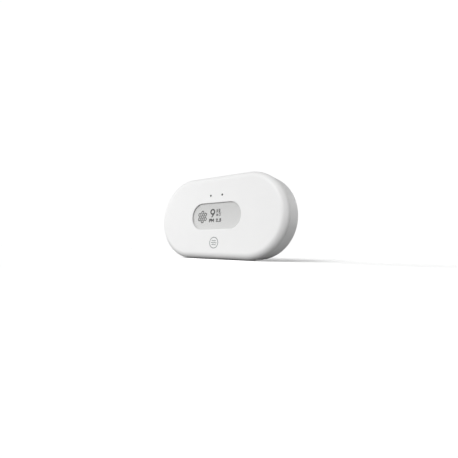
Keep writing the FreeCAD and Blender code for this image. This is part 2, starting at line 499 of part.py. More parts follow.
# ---------------------------------------------------------------- side board with socket and button
IO_Y0, IO_Y1 = -1.6, 0.0
io = rbox(-78.2, -60.2, IO_Y0, IO_Y1, CZ - 11, CZ + 18.6, 2.5).common(pill(2 * (HALF_STR + 41.6), 2 * 41.6, IO_Y0 - 1, IO_Y1 + 1))
io = io.cut([cyl_y(x, z, 0.95, -5, 5) for x, z in IO_POSTS])
save("side_board", io)
flip = []
for x, z in IO_POSTS:
    s = screw_y(x, z, 1.6, 1.1, 0.7, 5.5, 0)
    s.rotate(V(x, 0, z), V(0, 0, 1), 180)
    s.translate(V(0, IO_Y0 - 0.02, 0))
    flip.append(s)
save("side_board_screws", *flip)
shell = slot_z(USB_X, USB_Z - 4.5, USB_Z + 4.5, 1.6, IO_Y1 + 0.02, 7.0).cut(slot_z(USB_X, USB_Z - 4.2, USB_Z + 4.2, 1.3, IO_Y1 + 0.8, 8))
save("usb_socket_shell", shell)
save("usb_socket_tongue", box(USB_X - 0.35, USB_X + 0.35, IO_Y1 + 0.82, 6.2, USB_Z - 3.3, USB_Z + 3.3))
sw = rbox(BUTTON_X - 3, BUTTON_X + 3, IO_Y1 + 0.02, 3.5, BUTTON_Z - 3, BUTTON_Z + 3, 0.5).cut(cyl_y(BUTTON_X, BUTTON_Z, 1.75, 1.3, 4))
save("button_switch", sw)
save("switch_plunger", cyl_y(BUTTON_X, BUTTON_Z, 1.6, 2.4, 5.2))
cap = cyl_y(BUTTON_X, BUTTON_Z, BUTTON_R, 5.22, Y_REAR + 0.25)
cap = cap.makeFillet(0.4, [e for e in cap.Edges if abs(e.BoundBox.YMin - (Y_REAR + 0.25)) < 1e-6])
cap = cap.fuse(cyl_y(BUTTON_X, BUTTON_Z, 3.7, YW - 1.0, YW - 0.15))
save("reset_button", cap)
hd = box(-71.5, -61.5, YB1 + 0.02, YB1 + 2.6, CZ + 5.2, CZ + 10.2).fuse(
    [box(-71.5, -61.5, IO_Y0 - 2.6, IO_Y0 - 0.02, CZ + 5.2, CZ + 10.2)]
    + [box(-71 + 2.54 * i + 0.0, -71 + 2.54 * i + 0.64, YB1 + 2.0, IO_Y0 - 2.0, CZ + 6.1 + 2.54 * j, CZ + 6.74 + 2.54 * j) for i in range(4) for j in range(2)])
save("board_link", hd)

# ---------------------------------------------------------------- particle sensor
case = rbox(PM_X0, PM_X1, PM_Y0, PM_Y1 - 2.0, PM_Z0, PM_Z1, 1.0)
case = case.cut(box(PM_X0 + 1.2, PM_X1 - 1.2, PM_Y0 + 1.2, PM_Y1, PM_Z0 + 1.2, PM_Z1 - 1.2))
case = case.cut([box(PM_X1 - 2, PM_X1 + 1, 1.2, 5.2, CZ + 3, CZ + 14), box(PM_X1 - 2, PM_X1 + 1, 1.2, 5.2, CZ - 14, CZ - 3)])
fan_floor = PM_Y0 + 1.2
case = case.cut(cyl_y(FAN_X, FAN_Z, 0.80, PM_Y0 + 0.4, 2))
save("particle_sensor_case", case)
save("fan_bearing", tube_y(FAN_X, FAN_Z, 1.45, 0.80, fan_floor + 0.02, fan_floor + 2.4))
save("fan_stator", tube_y(FAN_X, FAN_Z, 2.9, 1.5, fan_floor + 0.02, fan_floor + 2.2))
hub_y0, hub_y1 = fan_floor + 0.5, fan_floor + 6.0
imp = cyl_y(FAN_X, FAN_Z, 4.4, hub_y0, hub_y1 - 0.6).cut(cyl_y(FAN_X, FAN_Z, 3.75, hub_y0 - 1, hub_y0 + 2.6))
disc = tube_y(FAN_X, FAN_Z, FAN_R, 4.2, hub_y0, hub_y0 + 0.7)
blades = []
for i in range(11):
    b = box(FAN_X + 4.1, FAN_X + FAN_R - 0.1, hub_y0 + 0.4, hub_y1, FAN_Z - 0.35, FAN_Z + 0.35)
    b.rotate(V(FAN_X + 4.1, 0, FAN_Z), V(0, 1, 0), 28)
    b.rotate(V(FAN_X, 0, FAN_Z), V(0, 1, 0), i * 360.0 / 11)
    blades.append(b)
imp = imp.fuse([disc] + blades)
imp = imp.common(cyl_y(FAN_X, FAN_Z, FAN_R, hub_y0 - 1, hub_y1 + 1))
imp = imp.cut(cyl_y(FAN_X, FAN_Z, 0.76, hub_y0 - 2, hub_y1 - 1.4))
save("fan_impeller", imp)
save("fan_shaft", cyl_y(FAN_X, FAN_Z, 0.75, PM_Y0 + 0.55, hub_y1 - 1.45))
save("fan_magnet_ring", tube_y(FAN_X, FAN_Z, 3.72, 3.25, hub_y0 + 0.1, hub_y0 + 2.4))
lid = rbox(PM_X0, PM_X1, PM_Y1 - 1.95, PM_Y1, PM_Z0, PM_Z1, 1.0)
lid = lid.cut(tube_y(FAN_X, FAN_Z, 8.4, 3.2, PM_Y1 - 0.8, PM_Y1 + 1))
save("particle_sensor_lid", lid)
save("laser_block", box(38, 52.2, fan_floor + 0.02, fan_floor + 6.0, CZ + 7, CZ + 17.4).cut(cyl_y(45, CZ + 12.2, 2.2, fan_floor + 2.5, 10)))
save("particle_sensor_pad", rbox(PM_X0 + 3, PM_X1 - 3, PM_Y1 + 0.02, YW - 0.02, PM_Z0 + 4, PM_Z0 + 9, 1.0),
     rbox(PM_X0 + 3, PM_X1 - 3, PM_Y1 + 0.02, YW - 0.02, PM_Z1 - 9, PM_Z1 - 4, 1.0))
pc = box(25, 35.5, YB1 + 0.02, YB1 + 2.3, CZ - 29.5, CZ - 24.5)
save("sensor_connector", pc)
save("sensor_ribbon", flat_run([(1.6, PM_Z0 - 0.02), (1.6, CZ - 27.0), (YB1 + 2.32, CZ - 27.0)], 0.9, 2.2, 26.2, 34.2))
duct = rbox(55.5, 79.0, 1.5, YW - 0.36, CZ - 15.4, CZ + 15.4, 1.0).common(pill(2 * (HALF_STR + 41.9), 2 * 41.9, 0, 12))
duct = duct.cut([box(54, 77.7, 2.7, 12, CZ + 0.6, CZ + 14.2), box(54, 77.7, 2.7, 12, CZ - 14.2, CZ - 0.6)])
save("air_duct", duct)
seal = box(PM_X1 + 0.02, 55.48, 0.6, 6.6, CZ - 15.4, CZ + 15.4).cut([box(53, 57, 1.4, 5.4, CZ + 2.6, CZ + 14.2), box(53, 57, 1.4, 5.4, CZ - 14.2, CZ - 2.6)])
save("duct_seal", seal)

# ---------------------------------------------------------------- wall plate
P0 = Y_REAR + PLATE_GAP
plate = pill(PLATE_L, PLATE_H, P0, Y_BACK)
plate = plate.makeFillet(1.0, [e for e in plate.Edges if abs(e.BoundBox.YMin - Y_BACK) < 1e-6])
plate = plate.cut(pill(PLATE_L - 2 * PLATE_RIM, PLATE_H - 2 * PLATE_RIM, P0 - 1, Y_BACK - PLATE_BASE))
adds = [cyl_y(x, z, 5.2, P0 + 0.1, Y_BACK - PLATE_BASE + 0.3) for x, z in MAGNETS]
adds += [cyl_y(s * SCREW_SPACING / 2, CZ, 5.0, Y_BACK - PLATE_BASE - 0.8, Y_BACK - PLATE_BASE + 0.3) for s in (-1, 1)]
adds += [box(-50, 50, Y_BACK - PLATE_BASE - 1.0, Y_BACK - PLATE_BASE + 0.3, CZ + dz - 0.6, CZ + dz + 0.6) for dz in (-22, -11, 11, 22)]
adds += [box(x - 0.6, x + 0.6, Y_BACK - PLATE_BASE - 1.0, Y_BACK - PLATE_BASE + 0.3, CZ - 30, CZ + 30) for x in (-15, 15)]
plate = plate.fuse(adds)
plate = plate.cut([cyl_y(x, z, 4.1, P0 - 1, P0 + 1.15) for x, z in MAGNETS]
                  + [cyl_y(s * SCREW_SPACING / 2, CZ, SCREW_HOLE_R, P0, Y_BACK + 1) for s in (-1, 1)])
# finger notch on the lower edge for pulling the plate off
plate = plate.cut(cyl_y(0, CZ - PLATE_H / 2 - 9.0, 11.5, P0 - 1, P0 + 2.3))
save("wall_plate", plate)
save("plate_keepers", *[cyl_y(x, z, 4.0, P0 + 0.12, P0 + 1.12) for x, z in MAGNETS])
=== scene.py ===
import math
import bpy
import bmesh
from mathutils import Matrix, Vector


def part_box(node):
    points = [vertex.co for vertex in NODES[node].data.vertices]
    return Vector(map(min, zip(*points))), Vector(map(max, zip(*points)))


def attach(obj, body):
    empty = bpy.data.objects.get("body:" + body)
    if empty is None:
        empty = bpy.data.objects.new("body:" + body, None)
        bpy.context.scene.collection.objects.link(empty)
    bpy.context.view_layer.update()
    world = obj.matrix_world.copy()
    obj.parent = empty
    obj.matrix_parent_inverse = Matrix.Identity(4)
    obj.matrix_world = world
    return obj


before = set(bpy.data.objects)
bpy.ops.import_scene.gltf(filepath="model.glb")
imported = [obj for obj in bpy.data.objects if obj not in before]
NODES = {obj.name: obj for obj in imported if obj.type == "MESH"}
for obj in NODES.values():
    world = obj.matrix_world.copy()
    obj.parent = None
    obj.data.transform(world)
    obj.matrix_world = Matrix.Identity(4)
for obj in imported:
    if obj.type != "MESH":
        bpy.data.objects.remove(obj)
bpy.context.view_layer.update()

scene = bpy.context.scene
MM = 0.001


# ------------------------------------------------------------------ small node-graph helpers
class Graph:
    def __init__(self, name):
        self.mat = bpy.data.materials.new(name)
        self.mat.use_nodes = True
        self.nt = self.mat.node_tree
        self.bsdf = next(n for n in self.nt.nodes if n.type == "BSDF_PRINCIPLED")
        self.out = next(n for n in self.nt.nodes if n.type == "OUTPUT_MATERIAL")
        self.coord = self.nt.nodes.new("ShaderNodeTexCoord").outputs["Object"]

    def new(self, kind, **props):
        n = self.nt.nodes.new(kind)
        for k, v in props.items():
            setattr(n, k, v)
        return n

    def link(self, a, b):
        self.nt.links.new(a, b)

    def put(self, socket, value):
        if isinstance(value, bpy.types.NodeSocket):
            self.link(value, socket)
        else:
            socket.default_value = value

    def noise(self, scale, detail=2.0, rough=0.5, vec=None, stretch=None):
        v = vec or self.coord
        if stretch:
            m = self.new("ShaderNodeMapping")
            m.inputs["Scale"].default_value = stretch
            self.link(v, m.inputs["Vector"])
            v = m.outputs["Vector"]
        n = self.new("ShaderNodeTexNoise")
        self.link(v, n.inputs["Vector"])
        n.inputs["Scale"].default_value = scale
        n.inputs["Detail"].default_value = detail
        n.inputs["Roughness"].default_value = rough
        return n.outputs["Fac"]

    def voronoi(self, scale, feature="F1", out="Distance", vec=None):
        n = self.new("ShaderNodeTexVoronoi", feature=feature)
        self.link(vec or self.coord, n.inputs["Vector"])
        n.inputs["Scale"].default_value = scale
        return n.outputs[out]

    def wave(self, scale, direction="X", distort=0.0, profile="SIN"):
        n = self.new("ShaderNodeTexWave", wave_type="BANDS", bands_direction=direction, wave_profile=profile)
        self.link(self.coord, n.inputs["Vector"])
        n.inputs["Scale"].default_value = scale
        n.inputs["Distortion"].default_value = distort
        return n.outputs["Fac"]

    def math(self, op, a, b=0.0, c=0.0):
        n = self.new("ShaderNodeMath", operation=op)
        for s, v in zip(n.inputs, (a, b, c)):
            self.put(s, v)
        return n.outputs[0]

    def rng(self, value, lo, hi, a, b, smooth=False):
        n = self.new("ShaderNodeMapRange")
        if smooth:
            n.interpolation_type = "SMOOTHSTEP"
        for s, v in zip(("From Min", "From Max", "To Min", "To Max"), (lo, hi, a, b)):
            n.inputs[s].default_value = v
        self.put(n.inputs["Value"], value)
        return n.outputs["Result"]

    def mix(self, fac, a, b):
        n = self.new("ShaderNodeMix", data_type="RGBA")
        self.put(n.inputs["Factor"], fac)
        for s, v in zip((n.inputs[6], n.inputs[7]), (a, b)):
            self.put(s, v if isinstance(v, bpy.types.NodeSocket) else (*v, 1.0))
        return n.outputs[2]

    def xyz(self):
        n = self.new("ShaderNodeSeparateXYZ")
        self.link(self.coord, n.inputs[0])
        return n.outputs

    def bump(self, height, strength, distance, normal=None):
        n = self.new("ShaderNodeBump")
        n.inputs["Strength"].default_value = strength
        n.inputs["Distance"].default_value = distance
        self.link(height, n.inputs["Height"])
        if normal is not None:
            self.link(normal, n.inputs["Normal"])
        return n.outputs["Normal"]

    def finish(self, color=None, rough=None, normal=None, **fixed):
        b = self.bsdf.inputs
        if color is not None:
            self.put(b["Base Color"], color if isinstance(color, bpy.types.NodeSocket) else (*color, 1.0))
        if rough is not None:
            self.put(b["Roughness"], rough)
        if normal is not None:
            self.link(normal, b["Normal"])
        for k, v in fixed.items():
            b[k.replace("_", " ")].default_value = v
        return self.mat


def tint(c, k):
    return tuple(min(1.0, x * k) for x in c)


def moulded(name, color, rough=0.48, grain=0.22, depth=0.010, spread=0.012, specular=0.5):
    """Spark-eroded moulded plastic: fine pebble grain, faint flow mottling, uneven gloss."""
    g = Graph(name)
    flow = g.noise(38.0, 3.0, 0.55)
    fine = g.noise(1.0 / (grain * MM), 2.5, 0.6)
    pebble = g.voronoi(1.0 / (grain * 1.7 * MM), "SMOOTH_F1")
    col = g.mix(g.rng(flow, 0.3, 0.7, 0.0, 1.0), tint(color, 1 - spread), tint(color, 1 + spread))
    col = g.mix(g.rng(fine, 0.25, 0.75, 0.0, 0.35), col, tint(color, 1 - 1.6 * spread))
    r = g.math("ADD", g.rng(fine, 0.3, 0.7, rough - 0.06, rough + 0.06), g.rng(flow, 0.3, 0.7, -0.03, 0.03))
    n1 = g.bump(fine, 0.55, depth * MM)
    n2 = g.bump(pebble, 0.35, depth * 1.4 * MM, n1)
    return g.finish(col, r, n2, Specular_IOR_Level=specular)


def metal(name, color, rough=0.3, direction=None, scratch=0.02, spread=0.05):
    """Plated, brushed or rolled metal. direction stretches the grain along one axis."""
    g = Graph(name)
    st = {"X": (0.03, 1, 1), "Y": (1, 0.03, 1), "Z": (1, 1, 0.03), None: (1, 1, 1)}[direction]
    brush = g.noise(4200.0, 3.0, 0.6, stretch=st)
    cloud = g.noise(260.0, 3.0, 0.5)
    col = g.mix(g.rng(brush, 0.3, 0.7, 0.0, 1.0), tint(color, 1 - spread), tint(color, 1 + spread))
    col = g.mix(g.rng(cloud, 0.45, 0.8, 0.0, 0.35), col, tint(color, 0.82))
    r = g.math("ADD", g.rng(brush, 0.3, 0.7, rough - 0.07, rough + 0.07), g.rng(cloud, 0.3, 0.7, -0.04, 0.05))
    return g.finish(col, r, g.bump(brush, 0.4, scratch * MM), Metallic=1.0)


def rubbery(name, color, rough=0.75, pore=0.35, depth=0.03):
    g = Graph(name)
    cells = g.voronoi(1.0 / (pore * MM))
    cloud = g.noise(120.0, 3.0, 0.6)
    col = g.mix(g.rng(cells, 0.0, 0.6, 0.0, 1.0), tint(color, 0.8), tint(color, 1.1))
    col = g.mix(g.rng(cloud, 0.4, 0.8, 0.0, 0.4), col, tint(color, 1.25))
    return g.finish(col, g.rng(cloud, 0.3, 0.7, rough - 0.08, rough + 0.08), g.bump(cells, 0.5, depth * MM), Specular_IOR_Level=0.35)


def board(name):
    """Solder-masked circuit board: green lacquer over copper tracks, with tinned dots on a grid."""
    g = Graph(name)
    x, _, z = g.xyz()
    tracks = g.new("ShaderNodeTexBrick")
    comb = g.new("ShaderNodeCombineXYZ")
    g.link(x, comb.inputs[0]); g.link(z, comb.inputs[1])
    g.link(comb.outputs[0], tracks.inputs["Vector"])
    tracks.inputs["Scale"].default_value = 260.0
    tracks.inputs["Mortar Size"].default_value = 0.035
    tracks.inputs["Color1"].default_value = (0, 0, 0, 1)
    tracks.inputs["Color2"].default_value = (0.25, 0.25, 0.25, 1)
    tracks.inputs["Mortar"].default_value = (1, 1, 1, 1)
    dots = g.new("ShaderNodeTexVoronoi", feature="F1")
    g.link(comb.outputs[0], dots.inputs["Vector"])
    dots.inputs["Scale"].default_value = 300.0
    dots.inputs["Randomness"].default_value = 0.35
    dot = g.rng(dots.outputs["Distance"], 0.13, 0.17, 1.0, 0.0)
    cloud = g.noise(70.0, 2.0)
    base = g.mix(g.rng(cloud, 0.3, 0.7, 0.0, 1.0), (0.008, 0.085, 0.045), (0.012, 0.12, 0.06))
    col = g.mix(g.rng(tracks.outputs["Color"], 0.2, 1.0, 0.0, 0.75), base, (0.03, 0.24, 0.11))
    col = g.mix(dot, col, (0.62, 0.58, 0.50))
    return g.finish(col, g.rng(dot, 0.0, 1.0, 0.30, 0.42), g.bump(g.math("MAXIMUM", tracks.outputs["Color"], dot), 0.6, 0.03 * MM))


def chip(name, color=(0.018, 0.018, 0.02)):
    g = Graph(name)
    fine = g.noise(9000.0, 2.0)
    cloud = g.noise(300.0, 2.0)
    col = g.mix(g.rng(fine, 0.3, 0.7, 0.0, 1.0), tint(color, 0.8), tint(color, 1.5))
    return g.finish(col, g.rng(cloud, 0.3, 0.7, 0.42, 0.6), g.bump(fine, 0.4, 0.008 * MM))


def woven(name, color, pitch=0.32):
    """Plain-weave acoustic cloth."""
    g = Graph(name)
    warp = g.wave(1.0 / (pitch * MM) / 3.2, "X")
    weft = g.wave(1.0 / (pitch * MM) / 3.2, "Z")
    cross = g.math("MULTIPLY", warp, weft)
    lint = g.noise(900.0, 3.0)
    col = g.mix(cross, tint(color, 0.35), tint(color, 1.6))
    col = g.mix(g.rng(lint, 0.5, 0.8, 0.0, 0.3), col, tint(color, 2.2))
    return g.finish(col, g.rng(lint, 0.3, 0.7, 0.8, 0.95), g.bump(cross, 0.8, 0.08 * MM))


def film(name, color):
    """Polyimide ribbon with its copper lines showing through."""
    g = Graph(name)
    lines = g.wave(290.0, "Z")
    cloud = g.noise(400.0, 2.0)
    col = g.mix(g.rng(lines, 0.35, 0.6, 0.0, 1.0), color, tint(color, 0.55))
    return g.finish(col, g.rng(cloud, 0.3, 0.7, 0.25, 0.4), g.bump(lines, 0.3, 0.02 * MM))


def winding(name):
    g = Graph(name)
    turns = g.wave(1500.0, "Y")
    cloud = g.noise(600.0, 2.0)
    col = g.mix(turns, (0.30, 0.09, 0.025), (0.72, 0.30, 0.10))
    return g.finish(col, g.rng(cloud, 0.3, 0.7, 0.22, 0.38), g.bump(turns, 0.7, 0.05 * MM), Metallic=0.85)


def jacket(name, z_low, z_high, plus_up):
    """Printed cell jacket: dark body, a paler band towards the positive end, bare metal ends."""
    g = Graph(name)
    z = g.xyz()[2]
    t = g.rng(z, z_low, z_high, 0.0, 1.0) if plus_up else g.rng(z, z_low, z_high, 1.0, 0.0)
    cloud = g.noise(500.0, 2.0)
    scuff = g.noise(1800.0, 4.0, 0.65, stretch=(1, 1, 0.15))
    body = g.mix(g.rng(cloud, 0.3, 0.7, 0.0, 1.0), (0.045, 0.055, 0.065), (0.06, 0.07, 0.085))
    band = g.mix(g.rng(cloud, 0.3, 0.7, 0.0, 1.0), (0.50, 0.53, 0.55), (0.58, 0.61, 0.63))
    col = g.mix(g.rng(t, 0.700, 0.704, 0.0, 1.0), body, band)
    line = g.math("MULTIPLY", g.rng(t, 0.672, 0.675, 0.0, 1.0), g.rng(t, 0.684, 0.687, 1.0, 0.0))
    col = g.mix(line, col, (0.66, 0.68, 0.70))
    ends = g.math("MAXIMUM", g.rng(t, 0.968, 0.972, 0.0, 1.0), g.rng(t, 0.012, 0.016, 1.0, 0.0))
    col = g.mix(ends, col, (0.66, 0.65, 0.62))
    col = g.mix(g.rng(scuff, 0.66, 0.78, 0.0, 0.35), col, (0.5, 0.5, 0.5))
    m = g.finish(col, g.rng(scuff, 0.3, 0.7, 0.24, 0.38), g.bump(scuff, 0.15, 0.01 * MM))
    g.link(g.rng(ends, 0.0, 1.0, 0.15, 1.0), g.bsdf.inputs["Metallic"])
    return m


PANEL_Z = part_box("display_panel")[0].z + 5 * MM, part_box("display_panel")[1].z - 5 * MM


def paper_screen(name):
    """Reflective e-paper: warm grey microcapsule grain and a faint pixel grid."""
    g = Graph(name)
    x, _, z = g.xyz()
    grain = g.noise(9000.0, 2.0, 0.7)
    cloud = g.noise(45.0, 2.0)
    pix = g.math("MULTIPLY", g.wave(1.0 / (0.226 * MM) / 3.2, "X"), g.wave(1.0 / (0.226 * MM) / 3.2, "Z"))
    c = SCREEN
    col = g.mix(g.rng(grain, 0.25, 0.75, 0.0, 1.0), tint(c, 0.965), tint(c, 1.035))
    col = g.mix(g.rng(cloud, 0.3, 0.7, 0.0, 0.5), col, tint(c, 0.985))
    col = g.mix(g.rng(pix, 0.0, 1.0, 0.0, 0.25), col, tint(c, 1.03))
    # painted light: the paper is painted paler towards the bottom, standing in for the bright floor reflecting in
    # the window
    painted_light_ramp = g.rng(z, PANEL_Z[0], PANEL_Z[1], 1.0, 0.0)
    col = g.mix(painted_light_ramp, col, tint(c, 1.17))
    return g.finish(col, g.rng(grain, 0.3, 0.7, 0.55, 0.7), g.bump(grain, 0.2, 0.004 * MM), Specular_IOR_Level=0.3)


def ink(name, color):
    g = Graph(name)
    grain = g.noise(9000.0, 2.0, 0.7)
    return g.finish(g.mix(g.rng(grain, 0.25, 0.75, 0.0, 1.0), tint(color, 0.85), tint(color, 1.15)),
                    g.rng(grain, 0.3, 0.7, 0.55, 0.7), g.bump(grain, 0.2, 0.004 * MM), Specular_IOR_Level=0.3)


def window_film(name):
    """Hard-coated window with a matt anti-glare front: mostly clear, with a thin milky veil."""
    g = Graph(name)
    grain = g.noise(7000.0, 3.0, 0.6)
    cloud = g.noise(60.0, 2.0)
    col = g.mix(g.rng(cloud, 0.3, 0.7, 0.0, 1.0), (0.86, 0.87, 0.87), (0.90, 0.90, 0.90))
    return g.finish(col, g.rng(grain, 0.3, 0.7, 0.26, 0.38), g.bump(grain, 0.25, 0.004 * MM), Alpha=0.06, IOR=1.49)


# ------------------------------------------------------------------ materials for the CAD nodes
WHITE = (0.87, 0.87, 0.868)
SCREEN = (0.62, 0.62, 0.615)
INK = (0.016, 0.0165, 0.018)

shell = moulded("shell_white", WHITE, rough=0.50)
steel = metal("steel_zinc", (0.56, 0.56, 0.57), 0.32)
nickel = metal("nickel_plate", (0.72, 0.71, 0.69), 0.38)
can = metal("shield_can", (0.60, 0.60, 0.59), 0.34, "X")
cast = metal("cast_alu", (0.55, 0.56, 0.57), 0.42, None, 0.06, 0.1)
brass = metal("bearing_brass", (0.72, 0.52, 0.22), 0.28)
black = moulded("black_moulding", (0.022, 0.022, 0.024), 0.5, 0.2, 0.02, 0.1)
white_pa = moulded("connector_nylon", (0.72, 0.70, 0.64), 0.45, 0.15, 0.01, 0.02)
sensor_pa = moulded("sensor_case", (0.10, 0.105, 0.11), 0.5, 0.25, 0.02, 0.08)
green = board("board_green")
dark_chip = chip("chip_epoxy")
foam = rubbery("black_foam", (0.025, 0.025, 0.026), 0.9, 0.45, 0.12)
# the gasket foam's pale grey is partly its own tone and partly painted light, pale enough to lighten the shade
# between window and screen
pale_foam_painted_light = rubbery("adhesive_foam_and_painted_light", (0.66, 0.66, 0.65), 0.85, 0.3, 0.05)
feet = rubbery("foot_rubber", (0.50, 0.50, 0.49), 0.7, 0.3, 0.03)
cloth = woven("vent_cloth", (0.035, 0.035, 0.036))

LOOKS = {
    "front_cover": shell, "rear_housing": shell, "port_insert": shell,
    "wall_plate": moulded("plate_white", WHITE, rough=0.55, grain=0.3, depth=0.014),
    "front_mark": moulded("mark_ink", (0.20, 0.215, 0.225), 0.6, 0.12, 0.004, 0.03, 0.25),
    "display_lens": window_film("window_film"),
    "display_gasket": pale_foam_painted_light,
    "display_panel": paper_screen("e_paper"),
    "display_frame": black, "display_ribbon": film("ribbon_film", (0.36, 0.13, 0.02)),
    "ribbon_connector": white_pa,
    "light_guide": moulded("smoked_diffuser", (0.016, 0.016, 0.018), 0.8, 0.3, 0.004, 0.05, 0.15),
    "optical_sensors": dark_chip, "main_board": green, "side_board": green,
    "board_screws": steel, "side_board_screws": steel, "housing_screws": steel,
    "wireless_module": can, "processor_chip": dark_chip, "power_chips": dark_chip,
    "co2_sensor": cast, "gas_sensor": can, "climate_sensor": dark_chip,
    "left_foot": feet, "right_foot": feet,
    "magnets": nickel, "plate_keepers": nickel,
    "vent_mesh_side": cloth, "vent_mesh_top": cloth, "vent_mesh_bottom": cloth,
    "battery_springs": nickel, "battery_contacts": nickel,
    "battery_lead_black": rubbery("lead_black", (0.02, 0.02, 0.02), 0.5, 0.2, 0.01),
    "battery_lead_red": rubbery("lead_red", (0.45, 0.02, 0.015), 0.5, 0.2, 0.01),
    "usb_socket_shell": metal("socket_steel", (0.60, 0.60, 0.60), 0.28, "Y"), "usb_socket_tongue": black,
    "button_switch": black, "switch_plunger": white_pa,
    "reset_button": moulded("button_grey", (0.56, 0.57, 0.575), 0.42, 0.2, 0.008),
    "board_link": black,
    "particle_sensor_case": sensor_pa, "particle_sensor_lid": sensor_pa,
    "fan_bearing": brass, "fan_stator": winding("stator_winding"), "fan_impeller": black,
    "fan_shaft": steel, "fan_magnet_ring": chip("ferrite_ring", (0.05, 0.048, 0.046)),
    "laser_block": cast, "particle_sensor_pad": foam, "duct_seal": foam,
    "sensor_connector": white_pa, "sensor_ribbon": rubbery("cable_grey", (0.30, 0.31, 0.33), 0.5, 0.2, 0.01),
    "air_duct": black,
}
for i in range(1, 5):
    node = "battery_cell_%d" % i
    lo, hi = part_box(node)
    LOOKS[node] = jacket("cell_jacket_%d" % i, lo.z, hi.z, i % 2 == 1)

for name, obj in NODES.items():
    mat = LOOKS[name]
    if not obj.material_slots:
        obj.data.materials.append(mat)
    for slot in obj.material_slots:
        slot.material = mat


# ------------------------------------------------------------------ the reading on the display
panel_lo, panel_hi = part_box("display_panel")
Y_INK = panel_lo.y - 0.03 * MM
ink_mat = ink("display_ink", INK)
ink_pale = ink("display_ink_soft", (0.05, 0.052, 0.055))


def keep(name, bm, mat, body="housing"):
    me = bpy.data.meshes.new(name)
    bm.normal_update()
    bm.to_mesh(me)
    bm.free()
    ob = bpy.data.objects.new(name, me)
    scene.collection.objects.link(ob)
    me.materials.append(mat)
    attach(ob, body)
    return ob


def ring(bm, cx, cz, r_out, r_in, y0, y1, n=36):
    """Flat annulus between two depths, as a closed solid."""
    rows = []
    for r, y in ((r_out, y0), (r_out, y1), (r_in, y1), (r_in, y0)):
        rows.append([bm.verts.new((cx + r * math.cos(2 * math.pi * k / n), y, cz + r * math.sin(2 * math.pi * k / n))) for k in range(n)])
    for a, b in zip(rows, rows[1:] + rows[:1]):
        for k in range(n):
            bm.faces.new((a[k], a[(k + 1) % n], b[(k + 1) % n], b[k]))


def disc(bm, cx, cz, r, y0, y1, n=28):
    a = [bm.verts.new((cx + r * math.cos(2 * math.pi * k / n), y0, cz + r * math.sin(2 * math.pi * k / n))) for k in range(n)]
    b = [bm.verts.new((v.co.x, y1, v.co.z)) for v in a]
    for k in range(n):
        bm.faces.new((a[k], a[(k + 1) % n], b[(k + 1) % n], b[k]))
    bm.faces.new(a[::-1])
    bm.faces.new(b)


def strokes(name, paths, cx, cz, height, weight, mat, wide=1.0):
    """Round-ended pen strokes. Paths are in a box 1 high, joined end to end as flat solids."""
    bm = bmesh.new()
    for pts in paths:
        line = [(px * wide, pz) for px, pz in smooth_line(pts)]
        side_a, side_b = [], []
        n = len(line)
        for i, (px, pz) in enumerate(line):
            qx, qz = line[max(i - 1, 0)]
            rx, rz = line[min(i + 1, n - 1)]
            dx, dz = rx - qx, rz - qz
            L = math.hypot(dx, dz) or 1.0
            nx, nz = -dz / L * weight / 2, dx / L * weight / 2
            X, Z = cx + px * height, cz + pz * height
            side_a.append((X + nx, Z + nz))
            side_b.append((X - nx, Z - nz))
        # round caps
        def cap(i, sign):
            px, pz = line[i]
            qx, qz = line[i - sign] if 0 <= i - sign < n else line[i]
            a0 = math.atan2(pz - qz, px - qx)
            X, Z = cx + px * height, cz + pz * height
            return [(X + weight / 2 * math.cos(a0 + t), Z + weight / 2 * math.sin(a0 + t)) for t in [math.pi / 2 - math.pi * k / 8 for k in range(1, 8)]]
        end = cap(n - 1, 1)
        px, pz = line[0]
        qx, qz = line[1]
        a0 = math.atan2(pz - qz, px - qx)
        X, Z = cx + px * height, cz + pz * height
        start = [(X + weight / 2 * math.cos(a0 + t), Z + weight / 2 * math.sin(a0 + t)) for t in [math.pi / 2 - math.pi * k / 8 for k in range(1, 8)]]
        m = len(side_a)
        va0 = [bm.verts.new((x, Y_INK, z)) for x, z in side_a]
        vb0 = [bm.verts.new((x, Y_INK, z)) for x, z in side_b]
        va1 = [bm.verts.new((x, Y_INK + 0.02 * MM, z)) for x, z in side_a]
        vb1 = [bm.verts.new((x, Y_INK + 0.02 * MM, z)) for x, z in side_b]
        for k in range(m - 1):
            bm.faces.new((va0[k], va0[k + 1], vb0[k + 1], vb0[k]))
            bm.faces.new((va1[k + 1], va1[k], vb1[k], vb1[k + 1]))
            bm.faces.new((va0[k + 1], va0[k], va1[k], va1[k + 1]))
            bm.faces.new((vb0[k], vb0[k + 1], vb1[k + 1], vb1[k]))
        for pts2, a0v, b0v, a1v, b1v in ((end, va0[-1], vb0[-1], va1[-1], vb1[-1]), (start, vb0[0], va0[0], vb1[0], va1[0])):
            f = [bm.verts.new((x, Y_INK, z)) for x, z in pts2]
            g = [bm.verts.new((x, Y_INK + 0.02 * MM, z)) for x, z in pts2]
            bm.faces.new([a0v] + f + [b0v])
            bm.faces.new([b1v] + g[::-1] + [a1v])
            chain0, chain1 = [a0v] + f + [b0v], [a1v] + g + [b1v]
            for k in range(len(chain0) - 1):
                bm.faces.new((chain0[k + 1], chain0[k], chain1[k], chain1[k + 1]))
    bmesh.ops.recalc_face_normals(bm, faces=bm.faces)
    return keep(name, bm, mat)


def smooth_line(pts):
    """Points of a path; an ("arc", cx, cz, rx, rz, a0, a1) entry is drawn as an elliptic arc in degrees."""
    out = []
    for p in pts:
        if p[0] == "arc":
            _, cx, cz, rx, rz, a0, a1 = p
            k = max(6, int(abs(a1 - a0) / 9))
            new = [(cx + rx * math.cos(math.radians(a0 + (a1 - a0) * i / k)), cz + rz * math.sin(math.radians(a0 + (a1 - a0) * i / k))) for i in range(k + 1)]
        else:
            new = [p]
        for q in new:
            if not out or math.hypot(q[0] - out[-1][0], q[1] - out[-1][1]) > 1e-5:
                out.append(q)
    return out


A = "arc"
